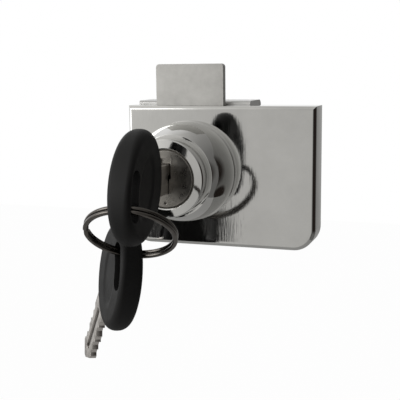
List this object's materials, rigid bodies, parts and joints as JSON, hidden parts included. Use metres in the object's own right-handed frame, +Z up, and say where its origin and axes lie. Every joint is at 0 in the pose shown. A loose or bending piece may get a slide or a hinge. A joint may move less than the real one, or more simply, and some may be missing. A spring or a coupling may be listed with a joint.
{
  "type": "glass cabinet door lock",
  "caption": "Chrome clamp-on lock for a glass cabinet door, with a flat bolt from its top edge and folding keys with black heads on a split ring.",
  "frame": {"origin": "on the plug's axis, in the plane where the glass sits against the pad", "axes": "+Z up, towards the bolt; -Y to the front, where the key comes in; +Y into the glass; +X to the right seen from the front"},
  "size_m": [0.0679, 0.074, 0.0871],
  "materials": {
    "chrome": "polished",
    "plug_satin": "satin",
    "bolt_steel": "matte",
    "strap_zinc": "matte",
    "screw_steel": "satin",
    "pin_black": "satin",
    "wafer_brass": "satin",
    "pad_clear": "matte",
    "foot_black": "matte",
    "key_black": "satin",
    "key_nickel": "satin",
    "ring_nickel": "polished"
  },
  "bodies": {
    "case": {"lock_case": "chrome", "lock_barrel": "chrome", "cover_plate": "strap_zinc", "cover_screws": "screw_steel", "clamp_bracket": "strap_zinc", "bracket_screws": "screw_steel", "glass_pad": "pad_clear", "edge_pad": "pad_clear"},
    "plug": {"lock_plug": "plug_satin", "wafer_springs": "screw_steel", "plug_clip": "screw_steel", "drive_cam": "strap_zinc", "cam_screws": "screw_steel"},
    "bolt": {"dead_bolt": "bolt_steel"},
    "rising_wafers": {"wafers_up": "wafer_brass"},
    "dropping_wafers": {"wafers_down": "wafer_brass"},
    "blade": {"key_blade": "key_nickel"},
    "head": {"key_head": "key_black", "key_pin": "pin_black"},
    "ring": {"split_ring": "ring_nickel"},
    "spare_head": {"spare_key_head": "key_black", "spare_key_pin": "pin_black"},
    "spare_blade": {"spare_key_blade": "key_nickel"},
    "left_foot": {"clamp_foot_left": "foot_black"},
    "right_foot": {"clamp_foot_right": "foot_black"},
    "left_screw": {"clamp_screw_left": "screw_steel"},
    "right_screw": {"clamp_screw_right": "screw_steel"}
  },
  "joints": [
    {"name": "key_turn", "type": "hinge", "parent": "case", "child": "plug", "pos_m": [0, 0, 0], "axis": [0, 1, 0], "range_deg": [0, 180]},
    {"name": "bolt_slide", "type": "slide", "parent": "case", "child": "bolt", "axis": [0, 0, -1], "range_m": [0, 0.012]},
    {"name": "key_pull", "type": "slide", "parent": "plug", "child": "blade", "axis": [0, -1, 0], "range_m": [0, 0.025]},
    {"name": "wafers_rise", "type": "slide", "parent": "plug", "child": "rising_wafers", "axis": [0, 0, 1], "range_m": [0, 0.0008]},
    {"name": "wafers_drop", "type": "slide", "parent": "plug", "child": "dropping_wafers", "axis": [0, 0, -1], "range_m": [0, 0.0008]},
    {"name": "key_fold", "type": "hinge", "parent": "blade", "child": "head", "pos_m": [0, -0.0399, 0], "axis": [1, 0, 0], "range_deg": [-55, 22.9]},
    {"name": "ring_swing", "type": "hinge", "parent": "head", "child": "ring", "pos_m": [-0.00025, -0.0561, -0.00371], "axis": [1, 0, 0], "range_deg": [-130, 20]},
    {"name": "spare_swing", "type": "hinge", "parent": "ring", "child": "spare_head", "pos_m": [-0.00623, -0.03966, -0.01863], "axis": [-0.9159, -0.3623, 0.1728], "range_deg": [-20, 55]},
    {"name": "spare_fold", "type": "hinge", "parent": "spare_head", "child": "spare_blade", "pos_m": [-0.01529, -0.0314, -0.02833], "axis": [-0.7412, -0.6581, 0.1323], "range_deg": [-151, 29]},
    {"name": "left_foot_travel", "type": "slide", "parent": "case", "child": "left_foot", "axis": [0, -1, 0], "range_m": [0, 0.0016]},
    {"name": "right_foot_travel", "type": "slide", "parent": "case", "child": "right_foot", "axis": [0, -1, 0], "range_m": [0, 0.0016]},
    {"name": "left_screw_turn", "type": "hinge", "parent": "left_foot", "child": "left_screw", "pos_m": [-0.01, 0, 0.002], "axis": [0, -1, 0], "range_deg": [0, 720]},
    {"name": "right_screw_turn", "type": "hinge", "parent": "right_foot", "child": "right_screw", "pos_m": [0.01, 0, 0.002], "axis": [0, -1, 0], "range_deg": [0, 720]}
  ],
  "couplings": [
    {"joint": "bolt_slide", "follows": "key_turn", "m_per_rad": 0.0038197},
    {"joint": "wafers_rise", "follows": "key_pull", "ratio": 0.032},
    {"joint": "wafers_drop", "follows": "key_pull", "ratio": 0.032},
    {"joint": "left_screw_turn", "follows": "left_foot_travel", "rad_per_m": 7854},
    {"joint": "right_screw_turn", "follows": "right_foot_travel", "rad_per_m": 7854}
  ]
}
